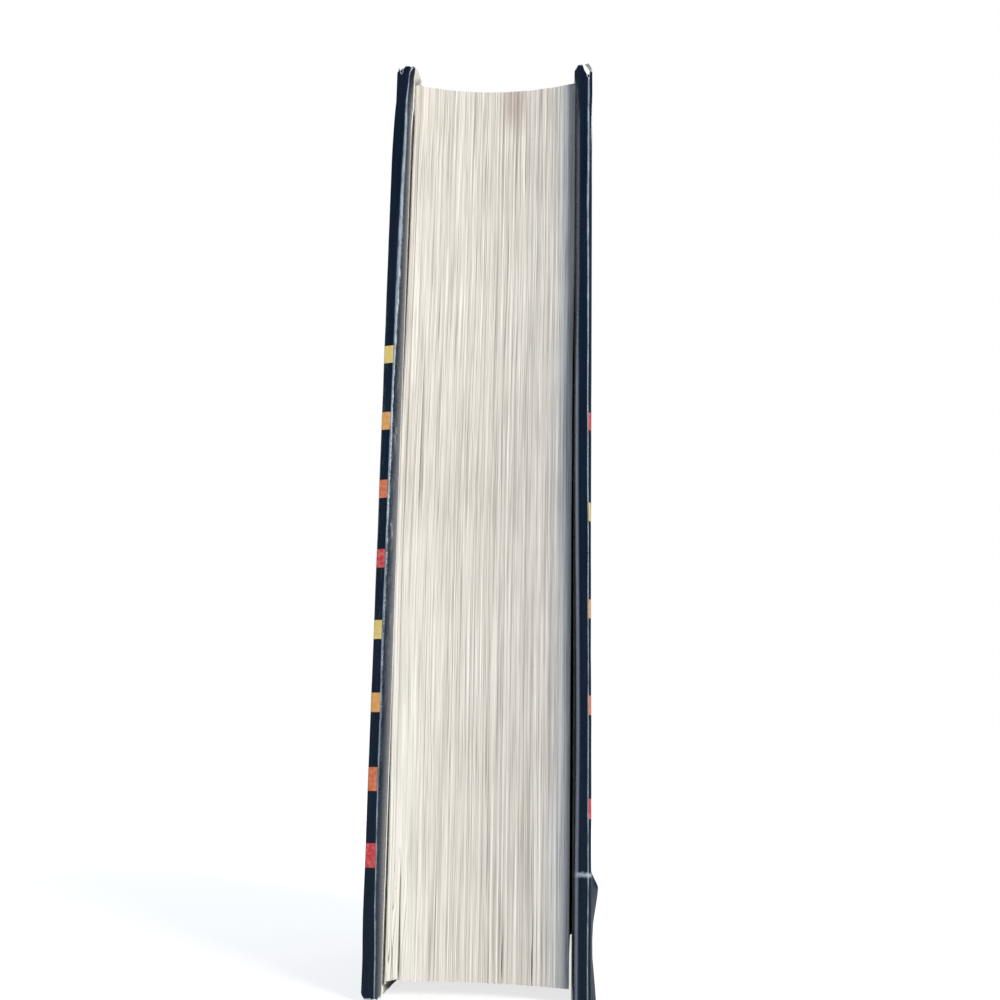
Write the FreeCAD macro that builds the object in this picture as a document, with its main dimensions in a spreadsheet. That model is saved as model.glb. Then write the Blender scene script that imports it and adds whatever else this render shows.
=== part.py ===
"""A thick hardback book in a loose dust jacket, standing on its tail. Millimetres.

X runs through the thickness, with the front cover at -X. Y runs from the fore-edge (-Y) to the
spine (+Y), and Z from the tail to the head. The origin is the middle of the box's base.
Every size below is a cell of the sheet, and each piece is bound to those cells by expressions.
"""
import FreeCAD, Part
import math
import os

import Sketcher

SHEET = "Sizes"
OUT_DIR = "parts"

SIZES = {
    # Leaves: one sewn block with a rounded back and a coved fore-edge.
    "leaf_height": 235.0,
    "leaf_width": 155.6,
    "block_thickness": 43.0,
    "fore_cove": 4.3,
    "spine_round": 4.3,
    "shoulder_length": 3.0,
    "shoulder_flare": 2.2,
    # Endpapers, boards and the cloth that covers them.
    "endpaper_thickness": 0.2,
    "pastedown_margin": 3.0,
    "board_thickness": 2.5,
    "cloth_thickness": 0.4,
    "turn_in": 15.0,
    "end_square": 3.2,
    "fore_square": 3.5,
    "groove_width": 8.0,
    # Back of the book, from the leaves outwards.
    "mull_thickness": 0.3,
    "lining_thickness": 0.3,
    "hollow_gap": 0.6,
    "spine_board_thickness": 1.8,
    "band_bead": 2.2,
    "band_tape": 10.0,
    "band_to_mull": 1.0,
    # Dust jacket: a panel, a creased fold round the board's edge, and a flap inside each cover.
    "jacket_thickness": 0.25,
    "jacket_ease": 0.3,
    "jacket_lift": 0.3,
    "flap_width": 85.0,
    "fold_round": 0.9,
    "crease_stand": 0.7,
    "front_crease_inset": 2.7,
    "back_crease_inset": 1.7,
    # The jacket's back panel stands away from the board near its tail corner.
    "bulge_stand": 2.2,
    "bulge_waist_stand": 0.8,
    "bulge_tail_stand": 1.6,
    "bulge_width": 24.0,
    "bulge_peak": 7.5,
    "bulge_top": 30.0,
    "bulge_height": 27.0,
    "bulge_waist": 14.0,
    # Room for the covers to swing.
    "cover_clearance": 0.9,
    "hinge_split": 0.4,
}


def size(name):
    """The expression that reads one cell of the sheet."""
    return f"{SHEET}.{name}"


def total(*terms):
    """An expression that adds its terms."""
    return "(" + " + ".join(terms) + ")"


def less(first, second):
    """An expression that subtracts the second term from the first."""
    return f"({first} - {second})"


def sided(side, term):
    """The same distance on the left (-1) or the right (+1) of the middle plane."""
    return f"({side} * {term})"


def on_circle(centre_y, radius, x):
    """Where the back's arc of a given radius stands at a distance x from the middle plane."""
    return f"({centre_y} + sqrt({radius} ^ 2 - {x} ^ 2))"


# Levels through the thickness, from the middle plane outwards.
HALF_BLOCK = f"({size('block_thickness')} / 2)"
FLY_FACE = total(HALF_BLOCK, size("endpaper_thickness"))
FLAP_IN = total(FLY_FACE, size("cover_clearance"))
FLAP_OUT = total(FLAP_IN, size("jacket_thickness"))
CLOTH_IN = total(FLAP_OUT, size("endpaper_thickness"))
BOARD_IN = total(CLOTH_IN, size("cloth_thickness"))
BOARD_OUT = total(BOARD_IN, size("board_thickness"))
CLOTH_OUT = total(BOARD_OUT, size("cloth_thickness"))
PANEL_IN = total(CLOTH_OUT, size("jacket_ease"))
PANEL_OUT = total(PANEL_IN, size("jacket_thickness"))
CENTRING_X = f"(-{size('bulge_stand')} / 2)"

# Levels from the fore-edge to the back, measured from the middle of the whole depth.
BACK_LAYERS = total(size("mull_thickness"), size("lining_thickness"), size("hollow_gap"),
                    size("spine_board_thickness"), size("cloth_thickness"))
DEPTH = total(size("crease_stand"), size("jacket_thickness"), size("jacket_ease"),
              size("fore_square"), size("leaf_width"), size("spine_round"), BACK_LAYERS,
              size("jacket_ease"), size("jacket_thickness"))
JACKET_FORE = f"({size('crease_stand')} - {DEPTH} / 2)"
CLOTH_FORE = total(JACKET_FORE, size("jacket_thickness"), size("jacket_ease"))
BOARD_FORE = total(CLOTH_FORE, size("cloth_thickness"))
LEAF_FORE = total(CLOTH_FORE, size("fore_square"))
SHOULDER = total(LEAF_FORE, size("leaf_width"))
SHOULDER_START = less(SHOULDER, size("shoulder_length"))
BOARD_BACK = less(SHOULDER_START, size("groove_width"))
HINGE_Y = f"({BOARD_BACK} + {size('groove_width')} / 2)"
COVER_END = f"({HINGE_Y} - {size('hinge_split')} / 2)"
SPINE_START = f"({HINGE_Y} + {size('hinge_split')} / 2)"

# The rounded back: one arc through both shoulders, which every layer behind it follows.
HALF_SHOULDER = total(HALF_BLOCK, size("shoulder_flare"))
ROUND_R = f"(({HALF_SHOULDER} ^ 2 + {size('spine_round')} ^ 2) / (2 * {size('spine_round')}))"
ROUND_CENTRE = less(total(SHOULDER, size("spine_round")), ROUND_R)
ROUND_SWEEP = f"(2 * asin({HALF_SHOULDER} / {ROUND_R}))"
COVE_R = f"(({HALF_BLOCK} ^ 2 + {size('fore_cove')} ^ 2) / (2 * {size('fore_cove')}))"
MULL_OUT_R = total(ROUND_R, size("mull_thickness"))
LINING_OUT_R = total(MULL_OUT_R, size("lining_thickness"))
SPINE_BOARD_IN_R = total(LINING_OUT_R, size("hollow_gap"))
SPINE_BOARD_OUT_R = total(SPINE_BOARD_IN_R, size("spine_board_thickness"))
CLOTH_OUT_R = total(SPINE_BOARD_OUT_R, size("cloth_thickness"))
JACKET_IN_R = total(CLOTH_OUT_R, size("jacket_ease"))
JACKET_OUT_R = total(JACKET_IN_R, size("jacket_thickness"))
TURN_IN_R = less(SPINE_BOARD_IN_R, size("cloth_thickness"))

# Levels from the tail up.
LEAF_TAIL = size("end_square")
LEAF_HEAD = total(LEAF_TAIL, size("leaf_height"))
CASE_HEIGHT = total(LEAF_HEAD, size("end_square"))
BOARD_TAIL = size("cloth_thickness")
BOARD_HEAD = less(CASE_HEIGHT, size("cloth_thickness"))
JACKET_TAIL = size("jacket_lift")
JACKET_HEAD = less(CASE_HEIGHT, size("jacket_lift"))

FRONT = -1
BACK = 1


def make_sheet(doc):
    """Write the driving sizes into the sheet, one cell with an alias each."""
    sheet = doc.addObject("Spreadsheet::Sheet", SHEET)
    for row, (name, value) in enumerate(SIZES.items(), start=1):
        sheet.set(f"A{row}", name)
        sheet.set(f"B{row}", str(value))
        sheet.setAlias(f"B{row}", name)
    doc.recompute()


def number(owner, expression):
    """The present value of an expression."""
    value = owner.evalExpression(expression)
    return float(getattr(value, "Value", value))


def place(item, x="0", y="0", z="0"):
    """Bind an object's place to expressions."""
    item.setExpression(".Placement.Base.x", x)
    item.setExpression(".Placement.Base.y", y)
    item.setExpression(".Placement.Base.z", z)


def new_body(doc, label, y="0"):
    """A body named after its piece, centred in the book's box."""
    body = doc.addObject("PartDesign::Body", label)
    body.Label = label
    place(body, CENTRING_X, y)
    return body


def origin_plane(body, role):
    """One of the body's own origin planes."""
    return next(f for f in body.Origin.OriginFeatures if f.Role == role)


def middle_of_arc(start, end, radius, bulge, part):
    """A point half way along an arc that bulges to the left (+1) or right (-1) of its chord."""
    chord = end - start
    half = chord.Length / 2
    inner = math.sqrt(max(radius ** 2 - half ** 2, 0.0))
    rise = radius + inner if part == "major" else radius - inner
    left = FreeCAD.Vector(-chord.y, chord.x, 0).normalize()
    return (start + end) / 2 + left * (rise * bulge)


def outline(body, name, role, corners, arcs=None, offset="0"):
    """Sketch a closed outline whose corners and arc radii are bound to the sheet.

    corners holds (x, y) expressions. arcs maps a side's number, counted from the first corner,
    to (radius expression, bulge) for the smaller part of a circle, or with "major" for the larger.
    """
    return outlines(body, name, role, [(corners, arcs or {})], offset)


def outlines(body, name, role, loops, offset="0"):
    """Sketch one or more closed loops on a plane of the body, raised by an offset."""
    sketch = body.newObject("Sketcher::SketchObject", name)
    sketch.AttachmentSupport = [(origin_plane(body, role), "")]
    sketch.MapMode = "FlatFace"
    sketch.setExpression(".AttachmentOffset.Base.z", offset)
    for corners, arcs in loops:
        draw_loop(sketch, corners, arcs)
    return sketch


def draw_loop(sketch, corners, arcs):
    """Draw one closed loop of straight sides and arcs, and fix every corner by two distances."""
    points = [FreeCAD.Vector(number(sketch, x), number(sketch, y), 0) for x, y in corners]
    first = sketch.GeometryCount
    count = len(points)
    ends = []
    for side in range(count):
        start, end = points[side], points[(side + 1) % count]
        if side in arcs:
            radius, bulge = arcs[side][0], arcs[side][1]
            part = arcs[side][2] if "major" in arcs[side] else "minor"
            middle = middle_of_arc(start, end, number(sketch, radius), bulge, part)
            index = sketch.addGeometry(Part.Arc(start, middle, end), False)
            turned = sketch.getPoint(index, 1).distanceToPoint(start) > \
                sketch.getPoint(index, 2).distanceToPoint(start)
            ends.append((2, 1) if turned else (1, 2))
        else:
            sketch.addGeometry(Part.LineSegment(start, end), False)
            ends.append((1, 2))
    for side in range(count):
        following = (side + 1) % count
        sketch.addConstraint(Sketcher.Constraint(
            "Coincident", first + side, ends[side][1], first + following, ends[following][0]))
    for side, (x, y) in enumerate(corners):
        for kind, text, value in (("DistanceX", x, points[side].x), ("DistanceY", y, points[side].y)):
            index = sketch.addConstraint(Sketcher.Constraint(
                kind, -1, 1, first + side, ends[side][0], value))
            sketch.setExpression(f"Constraints[{index}]", text)
    for side in arcs:
        radius = arcs[side][0]
        index = sketch.addConstraint(Sketcher.Constraint(
            "Radius", first + side, number(sketch, radius)))
        sketch.setExpression(f"Constraints[{index}]", radius)


def pad(body, sketch, length):
    """Raise a sketch on the base plane by a bound length."""
    feature = body.newObject("PartDesign::Pad", f"{sketch.Name}_pad")
    feature.Profile = sketch
    feature.setExpression("Length", length)
    return feature


def turn(body, sketch):
    """Turn a sketch of the back's section about the centre of its round, evenly to both sides."""
    feature = body.newObject("PartDesign::Revolution", f"{sketch.Name}_turn")
    feature.Profile = sketch
    feature.ReferenceAxis = (sketch, ["V_Axis"])
    feature.Midplane = True
    feature.setExpression("Angle", ROUND_SWEEP)
    return feature


def block(body, kind, name, low, high):
    """Add or cut a box between two corners given as expressions."""
    feature = body.newObject(f"PartDesign::{kind}Box", name)
    for prop, start, end in zip(("Length", "Width", "Height"), low, high):
        feature.setExpression(prop, less(end, start))
    place(feature, *low)
    return feature


def side_span(side, inner, outer):
    """The lowest and highest x between two levels on one side of the book."""
    if side == FRONT:
        return sided(side, outer), sided(side, inner)
    return inner, outer


def make_text_block(doc):
    """The leaves as one solid: coved fore-edge, rounded back and flared shoulders."""
    body = new_body(doc, "text_block")
    corners = [
        (sided(FRONT, HALF_BLOCK), LEAF_FORE),
        (HALF_BLOCK, LEAF_FORE),
        (HALF_BLOCK, SHOULDER_START),
        (HALF_SHOULDER, SHOULDER),
        (sided(FRONT, HALF_SHOULDER), SHOULDER),
        (sided(FRONT, HALF_BLOCK), SHOULDER_START),
    ]
    arcs = {0: (COVE_R, 1), 3: (ROUND_R, -1)}
    sketch = outline(body, "leaf_outline", "XY_Plane", corners, arcs, LEAF_TAIL)
    pad(body, sketch, size("leaf_height"))


def make_flyleaf(doc, label, side):
    """The free endpaper that lies on the block, up to the shoulder."""
    sheet = doc.addObject("Part::Box", label)
    sheet.Label = label
    sheet.setExpression("Length", size("endpaper_thickness"))
    sheet.setExpression("Width", less(SHOULDER_START, LEAF_FORE))
    sheet.setExpression("Height", size("leaf_height"))
    low, _ = side_span(side, HALF_BLOCK, FLY_FACE)
    place(sheet, total(CENTRING_X, low), LEAF_FORE, LEAF_TAIL)


def make_back_layer(doc, label, inner_r, outer_r, low, high):
    """A layer of even thickness that follows the rounded back."""
    body = new_body(doc, label, ROUND_CENTRE)
    corners = [(inner_r, low), (outer_r, low), (outer_r, high), (inner_r, high)]
    turn(body, outline(body, f"{label}_section", "YZ_Plane", corners))


def make_end_band(doc, label, end):
    """A band's tape, glued to the back, with its bead lying on the end of the leaves."""
    body = new_body(doc, label, ROUND_CENTRE)
    bead_r = f"({size('band_bead')} / 2)"
    seat = LEAF_HEAD if end > 0 else LEAF_TAIL
    away = "+" if end > 0 else "-"
    towards = "-" if end > 0 else "+"
    tape_end = f"({seat} {towards} {size('band_tape')})"
    bead_level = f"({seat} {away} {bead_r})"
    corners = [
        (ROUND_R, tape_end),
        (MULL_OUT_R, tape_end),
        (MULL_OUT_R, bead_level),
        (less(MULL_OUT_R, bead_r), seat),
        (ROUND_R, seat),
    ]
    arcs = {2: (bead_r, -end, "major")}
    turn(body, outline(body, f"{label}_section", "YZ_Plane", corners, arcs))


def make_spine_case_cover(doc):
    """The case cloth over the back: skin, groove strips and the turned-in ends."""
    body = new_body(doc, "spine_case_cover", ROUND_CENTRE)
    case_gap = less(CLOTH_IN, HALF_BLOCK)
    skin_in = less(CLOTH_OUT, size("cloth_thickness"))
    bend_in = total(HALF_SHOULDER, case_gap)
    bend_out = total(bend_in, size("cloth_thickness"))
    outer = [
        (BOARD_IN, SPINE_START),
        (BOARD_IN, SHOULDER_START),
        (bend_out, SHOULDER),
        (CLOTH_OUT, on_circle(ROUND_CENTRE, CLOTH_OUT_R, CLOTH_OUT)),
    ]
    inner = [
        (CLOTH_IN, SPINE_START),
        (CLOTH_IN, SHOULDER_START),
        (bend_in, SHOULDER),
        (skin_in, on_circle(ROUND_CENTRE, SPINE_BOARD_OUT_R, skin_in)),
    ]
    corners = outer + on_left(outer)[::-1] + on_left(inner) + inner[::-1]
    arcs = {3: (CLOTH_OUT_R, -1), 11: (SPINE_BOARD_OUT_R, 1)}
    skin = outline(body, "skin_outline", "XY_Plane", corners, arcs)
    skin.setExpression(".AttachmentOffset.Base.y", f"(-1 * {ROUND_CENTRE})")
    pad(body, skin, CASE_HEIGHT)
    turned = [turned_end("0", BOARD_TAIL, size("turn_in")),
              turned_end(CASE_HEIGHT, BOARD_HEAD, less(CASE_HEIGHT, size("turn_in")))]
    sketch = outlines(body, "turned_ends", "YZ_Plane", [(loop, {}) for loop in turned])
    turn(body, sketch)


def on_left(path):
    """The same path on the left of the middle plane."""
    return [(sided(FRONT, x), y) for x, y in path]


def turned_end(end, board_end, hem):
    """The section of the cloth that wraps one end of the spine board and lies inside it."""
    return [(TURN_IN_R, end), (SPINE_BOARD_OUT_R, end), (SPINE_BOARD_OUT_R, board_end),
            (SPINE_BOARD_IN_R, board_end), (SPINE_BOARD_IN_R, hem), (TURN_IN_R, hem)]


def make_jacket_spine(doc):
    """The jacket across the back, from one groove to the other."""
    body = new_body(doc, "jacket_spine")
    outer_y = on_circle(ROUND_CENTRE, JACKET_OUT_R, PANEL_OUT)
    inner_y = on_circle(ROUND_CENTRE, JACKET_IN_R, PANEL_IN)
    corners = [
        (PANEL_OUT, SPINE_START),
        (PANEL_OUT, outer_y),
        (sided(FRONT, PANEL_OUT), outer_y),
        (sided(FRONT, PANEL_OUT), SPINE_START),
        (sided(FRONT, PANEL_IN), SPINE_START),
        (sided(FRONT, PANEL_IN), inner_y),
        (PANEL_IN, inner_y),
        (PANEL_IN, SPINE_START),
    ]
    arcs = {1: (JACKET_OUT_R, -1), 5: (JACKET_IN_R, 1)}
    sketch = outline(body, "jacket_back_outline", "XY_Plane", corners, arcs, JACKET_TAIL)
    pad(body, sketch, less(JACKET_HEAD, JACKET_TAIL))


def make_board(doc, label, side):
    """One stiff board."""
    board = doc.addObject("Part::Box", label)
    board.Label = label
    board.setExpression("Length", size("board_thickness"))
    board.setExpression("Width", less(BOARD_BACK, BOARD_FORE))
    board.setExpression("Height", less(BOARD_HEAD, BOARD_TAIL))
    low, _ = side_span(side, BOARD_IN, BOARD_OUT)
    place(board, total(CENTRING_X, low), BOARD_FORE, BOARD_TAIL)


def make_case_cover(doc, label, side):
    """The cloth round one board, turned in on three sides, with its strip in the groove."""
    body = new_body(doc, label)
    wall_back = total(BOARD_BACK, size("cloth_thickness"))
    path = [
        (CLOTH_OUT, CLOTH_FORE),
        (CLOTH_OUT, wall_back),
        (BOARD_IN, wall_back),
        (BOARD_IN, COVER_END),
        (CLOTH_IN, COVER_END),
        (CLOTH_IN, CLOTH_FORE),
    ]
    corners = [(sided(side, x), y) for x, y in path]
    pad(body, outline(body, f"{label}_outline", "XY_Plane", corners), CASE_HEIGHT)
    x_low, x_high = side_span(side, BOARD_IN, BOARD_OUT)
    block(body, "Subtractive", f"{label}_board_room",
          (x_low, BOARD_FORE, BOARD_TAIL), (x_high, BOARD_BACK, BOARD_HEAD))
    x_low, x_high = side_span(side, CLOTH_IN, BOARD_IN)
    block(body, "Subtractive", f"{label}_window",
          (x_low, total(CLOTH_FORE, size("turn_in")), size("turn_in")),
          (x_high, BOARD_BACK, less(CASE_HEIGHT, size("turn_in"))))


def make_pastedown(doc, label, side):
    """The endpaper glued inside a cover, with the liner that fills the cloth's window."""
    body = new_body(doc, label)
    x_low, x_high = side_span(side, FLAP_OUT, CLOTH_IN)
    margin = size("pastedown_margin")
    block(body, "Additive", f"{label}_sheet",
          (x_low, total(CLOTH_FORE, margin), margin),
          (x_high, COVER_END, less(CASE_HEIGHT, margin)))
    x_low, x_high = side_span(side, CLOTH_IN, BOARD_IN)
    block(body, "Additive", f"{label}_liner",
          (x_low, total(CLOTH_FORE, size("turn_in")), size("turn_in")),
          (x_high, BOARD_BACK, less(CASE_HEIGHT, size("turn_in"))))


def jacket_section(side, crease_inset, stand=None):
    """The jacket's section round one cover: panel, creased fold and flap.

    stand is how far the panel stands out there, at the bulge's peak behind the fold.
    """
    thickness = size("jacket_thickness")
    fold = size("fold_round")
    corner_y = total(JACKET_FORE, fold)
    inside_fore = total(JACKET_FORE, thickness)
    flap_y = total(JACKET_FORE, size("flap_width"))
    crease_x = less(PANEL_OUT, crease_inset)
    crease_y = less(JACKET_FORE, size("crease_stand"))
    swell_out, swell_in = [], []
    if stand is not None:
        bulge_y = total(JACKET_FORE, size("bulge_width"))
        peak_y = total(JACKET_FORE, size("bulge_peak"))
        swell_out = [(PANEL_OUT, bulge_y), (total(PANEL_OUT, stand), peak_y)]
        swell_in = [(total(PANEL_IN, stand), peak_y), (PANEL_IN, bulge_y)]
    path = [
        (PANEL_OUT, COVER_END),
        *swell_out,
        (PANEL_OUT, corner_y),
        (less(PANEL_OUT, fold), JACKET_FORE),
        (crease_x, crease_y),
        (total(FLAP_IN, fold), JACKET_FORE),
        (FLAP_IN, corner_y),
        (FLAP_IN, flap_y),
        (FLAP_OUT, flap_y),
        (FLAP_OUT, corner_y),
        (total(FLAP_IN, fold), inside_fore),
        (crease_x, total(crease_y, thickness)),
        (less(PANEL_OUT, fold), inside_fore),
        (PANEL_IN, corner_y),
        *swell_in,
        (PANEL_IN, COVER_END),
    ]
    inner_fold = less(fold, thickness)
    corner = 1 + len(swell_out)
    arcs = {corner: (fold, side), corner + 3: (fold, side),
            corner + 7: (inner_fold, -side), corner + 10: (inner_fold, -side)}
    return [(sided(side, x), y) for x, y in path], arcs


def make_front_jacket(doc, label):
    """The jacket round the front cover."""
    body = new_body(doc, label)
    corners, arcs = jacket_section(FRONT, size("front_crease_inset"))
    sketch = outline(body, f"{label}_outline", "XY_Plane", corners, arcs, JACKET_TAIL)
    pad(body, sketch, less(JACKET_HEAD, JACKET_TAIL))


def make_back_jacket(doc, label):
    """The jacket round the back cover, with the bulge near its tail corner."""
    body = new_body(doc, label)
    levels = [
        ("top", size("bulge_top"), "0"),
        ("widest", size("bulge_height"), size("bulge_stand")),
        ("waist", size("bulge_waist"), size("bulge_waist_stand")),
        ("tail", JACKET_TAIL, size("bulge_tail_stand")),
    ]
    sketches = []
    for name, level, stand in levels:
        corners, arcs = jacket_section(BACK, size("back_crease_inset"), stand)
        sketches.append(outline(body, f"{label}_{name}", "XY_Plane", corners, arcs, level))
    pad(body, sketches[0], less(JACKET_HEAD, size("bulge_top")))
    for start, end in zip(sketches, sketches[1:]):
        loft = body.newObject("PartDesign::AdditiveLoft", f"{end.Name}_loft")
        loft.Profile = start
        loft.Sections = [end]
        loft.Ruled = True


def make_book(doc):
    """Build every piece of the book."""
    make_text_block(doc)
    make_flyleaf(doc, "front_flyleaf", FRONT)
    make_flyleaf(doc, "back_flyleaf", BACK)
    mull_inset = total(size("band_tape"), size("band_to_mull"))
    make_back_layer(doc, "mull", ROUND_R, MULL_OUT_R,
                    total(LEAF_TAIL, mull_inset), less(LEAF_HEAD, mull_inset))
    make_back_layer(doc, "spine_lining", MULL_OUT_R, LINING_OUT_R, LEAF_TAIL, LEAF_HEAD)
    make_back_layer(doc, "spine_board", SPINE_BOARD_IN_R, SPINE_BOARD_OUT_R, BOARD_TAIL, BOARD_HEAD)
    make_end_band(doc, "head_band", 1)
    make_end_band(doc, "tail_band", -1)
    make_spine_case_cover(doc)
    make_jacket_spine(doc)
    for name, side in (("front", FRONT), ("back", BACK)):
        make_board(doc, f"{name}_board", side)
        make_case_cover(doc, f"{name}_case_cover", side)
        make_pastedown(doc, f"{name}_pastedown", side)
    make_front_jacket(doc, "jacket_front")
    make_back_jacket(doc, "jacket_back")


def sub_parts(doc):
    """The pieces: every body, and every box that is a piece by itself."""
    return [item for item in doc.Objects if item.TypeId in ("PartDesign::Body", "Part::Box")]


def check(doc):
    """Stop if any object failed or any piece has no sound solid."""
    for item in doc.Objects:
        if {"Invalid", "Error"} & set(item.State):
            raise RuntimeError(f"{item.Name} failed: {item.State}")
    for piece in sub_parts(doc):
        shape = piece.Shape
        if shape.isNull() or not shape.isValid() or len(shape.Solids) != 1:
            raise RuntimeError(f"{piece.Label} has no sound solid")


def main():
    doc = FreeCAD.newDocument("hardback_book")
    make_sheet(doc)
    make_book(doc)
    doc.recompute()
    check(doc)
    os.makedirs(OUT_DIR, exist_ok=True)
    for piece in sub_parts(doc):
        piece.Shape.exportStep(os.path.join(OUT_DIR, f"{piece.Label}.step"))
        print(piece.Label, round(piece.Shape.Volume, 1), piece.Shape.BoundBox)


main()
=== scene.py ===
"""A worn hardback book in a glossy dark jacket, standing on its tail, seen from its fore-edge.

Lengths are in millimetres until a mesh is made, and then in metres. A side of the book is -1 for
the front cover (-X) and +1 for the back cover, and a level is a distance from the middle plane.
"""
import bpy
import math
import numpy as np
from mathutils import Matrix, Vector


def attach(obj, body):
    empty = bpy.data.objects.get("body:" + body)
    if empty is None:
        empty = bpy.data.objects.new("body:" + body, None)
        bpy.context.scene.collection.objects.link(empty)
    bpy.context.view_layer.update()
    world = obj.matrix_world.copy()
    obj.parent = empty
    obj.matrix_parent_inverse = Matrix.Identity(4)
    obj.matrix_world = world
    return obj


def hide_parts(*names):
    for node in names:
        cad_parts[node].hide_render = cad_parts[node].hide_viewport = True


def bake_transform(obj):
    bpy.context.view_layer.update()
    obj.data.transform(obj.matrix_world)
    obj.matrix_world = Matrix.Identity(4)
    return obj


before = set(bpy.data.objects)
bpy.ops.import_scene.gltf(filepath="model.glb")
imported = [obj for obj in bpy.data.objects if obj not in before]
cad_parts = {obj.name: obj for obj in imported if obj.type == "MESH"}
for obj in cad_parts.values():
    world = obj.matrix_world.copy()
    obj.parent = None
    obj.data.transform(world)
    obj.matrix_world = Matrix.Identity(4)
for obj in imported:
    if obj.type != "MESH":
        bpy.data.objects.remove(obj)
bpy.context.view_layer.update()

MM = 0.001
FRONT, BACK = -1, 1
MIDDLE_X = -1.1
HINGE_Y = 69.05

# Levels through the thickness.
FLYLEAF = 0.2
SHEET = 0.2
FLAP_IN = 22.6
PASTEDOWN_IN, PASTEDOWN_OUT = 22.85, 23.05
CLOTH_IN, CLOTH_OUT = 23.05, 26.35
STRIP_IN, STRIP_OUT = 23.05, 23.45
PANEL = 26.9

# Depths and heights.
LEAF_FORE = -79.1
SHOULDER_START, SHOULDER = 73.05, 76.05
FLAP_END = 1.4
CLOTH_FORE, CLOTH_BACK = -83.05, 65.45
JACKET_FORE = -83.6
CREASE_TIP = -84.28
SEAM_Y = 76.0
LEAF_TAIL, LEAF_HEAD = 3.2, 238.2
JACKET_TAIL, JACKET_HEAD = 0.3, 241.1
CASE_HEAD = 241.4
PASTEDOWN_TAIL, PASTEDOWN_HEAD = 3.0, 238.4

BACK_CENTRE_Y = 12.89
LEAF_BACK_R = 67.46
JACKET_BACK_R = 71.385
HALF_SHOULDER = 23.7
FORE_COVE = 4.3

rng = np.random.default_rng(11)


# ---------------------------------------------------------------- shapes

def ease(x, low, high):
    """0 before low, 1 after high, and smooth between them."""
    t = np.clip((x - low) / (high - low), 0.0, 1.0)
    return t * t * (3.0 - 2.0 * t)


def hump(x, centre, width):
    """1 at the centre, fading to nothing on both sides."""
    return np.exp(-((x - centre) / width) ** 2)


def ripples(x, z, x_length, z_length, count=7):
    """A smooth random surface between about -1 and 1, with waves near the given lengths."""
    total = np.zeros(np.broadcast(x, z).shape)
    for _ in range(count):
        turn_x, turn_z = rng.uniform(0.5, 1.7, 2) * rng.choice((-1, 1), 2)
        phase = rng.uniform(0, math.tau)
        total = total + np.sin(math.tau * (x * turn_x / x_length + z * turn_z / z_length) + phase)
    return total / count ** 0.5 / 1.5


def spread(levels, steps):
    """Heights from level to level, with a number of even steps between each two."""
    parts = [np.linspace(a, b, n, endpoint=False) for a, b, n in zip(levels, levels[1:], steps)]
    return np.concatenate(parts + [[levels[-1]]])


def rounded_path(corners, reaches, runs, bend, rows):
    """Points along straight runs joined by soft bends, for each row: [points, rows, 2].

    A bend leaves its run a reach before the corner. runs counts the steps along each run.
    """
    corners = np.stack([np.stack([np.broadcast_to(n, rows) for n in c], -1) for c in corners])
    pieces = []
    start = corners[0]
    for i in range(1, len(corners) - 1):
        before = corners[i - 1] - corners[i]
        after = corners[i + 1] - corners[i]
        reach = np.broadcast_to(reaches[i - 1], rows)[:, None]
        a = corners[i] + before / np.linalg.norm(before, axis=-1, keepdims=True) * reach
        b = corners[i] + after / np.linalg.norm(after, axis=-1, keepdims=True) * reach
        t = np.linspace(0, 1, runs[i - 1], endpoint=False)[:, None, None]
        pieces.append(start * (1 - t) + a * t)
        t = np.linspace(0, 1, bend, endpoint=False)[:, None, None]
        pieces.append(a * (1 - t) ** 2 + 2 * corners[i] * t * (1 - t) + b * t ** 2)
        start = b
    t = np.linspace(0, 1, runs[-1] + 1)[:, None, None]
    pieces.append(start * (1 - t) + corners[-1] * t)
    return np.concatenate(pieces)


def lengths_along(path):
    """Distance along a path of points, from its first point."""
    step = np.linalg.norm(np.diff(path, axis=0), axis=-1)
    return np.concatenate([np.zeros((1,) + step.shape[1:]), np.cumsum(step, axis=0)])


def beside(path, distance):
    """The same path moved to its left."""
    run = np.gradient(path, axis=0)
    run = run / np.linalg.norm(run, axis=-1, keepdims=True)
    return path + distance * np.stack([-run[..., 1], run[..., 0]], -1)


def solid_points(path, z, side):
    """The path's points in space: its first number is a level, its second is y."""
    return np.stack([MIDDLE_X + side * path[..., 0], path[..., 1], z], -1)


def new_object(name, points, faces, values, materials, face_materials=None, sharp=38):
    """A mesh object with numbers kept at its vertices, its faces turned outwards."""
    mesh = bpy.data.meshes.new(name)
    corners = points[faces]
    cross = np.cross(corners[:, 1] - corners[:, 0], corners[:, 2] - corners[:, 0]) \
        + np.cross(corners[:, 2] - corners[:, 0], corners[:, 3] - corners[:, 0])
    if np.einsum("ij,ij->", corners.mean(1) - points.mean(0), cross) < 0:
        faces = faces[:, ::-1]
    mesh.from_pydata((points * MM).tolist(), [], faces.tolist())
    for key, value in values.items():
        mesh.attributes.new(key, "FLOAT", "POINT").data.foreach_set(
            "value", np.ascontiguousarray(value, np.float32).ravel())
    for material in materials:
        mesh.materials.append(material)
    if face_materials is not None:
        mesh.polygons.foreach_set("material_index", face_materials.astype(np.int32))
    mesh.shade_smooth()
    mesh.set_sharp_from_angle(angle=math.radians(sharp))
    mesh.update()
    item = bpy.data.objects.new(name, mesh)
    bpy.context.scene.collection.objects.link(item)
    return item


def grid_faces(index):
    """Four-sided faces between neighbours in a grid of vertex numbers."""
    return np.stack([index[:-1, :-1], index[1:, :-1], index[1:, 1:], index[:-1, 1:]],
                    -1).reshape(-1, 4)


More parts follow.
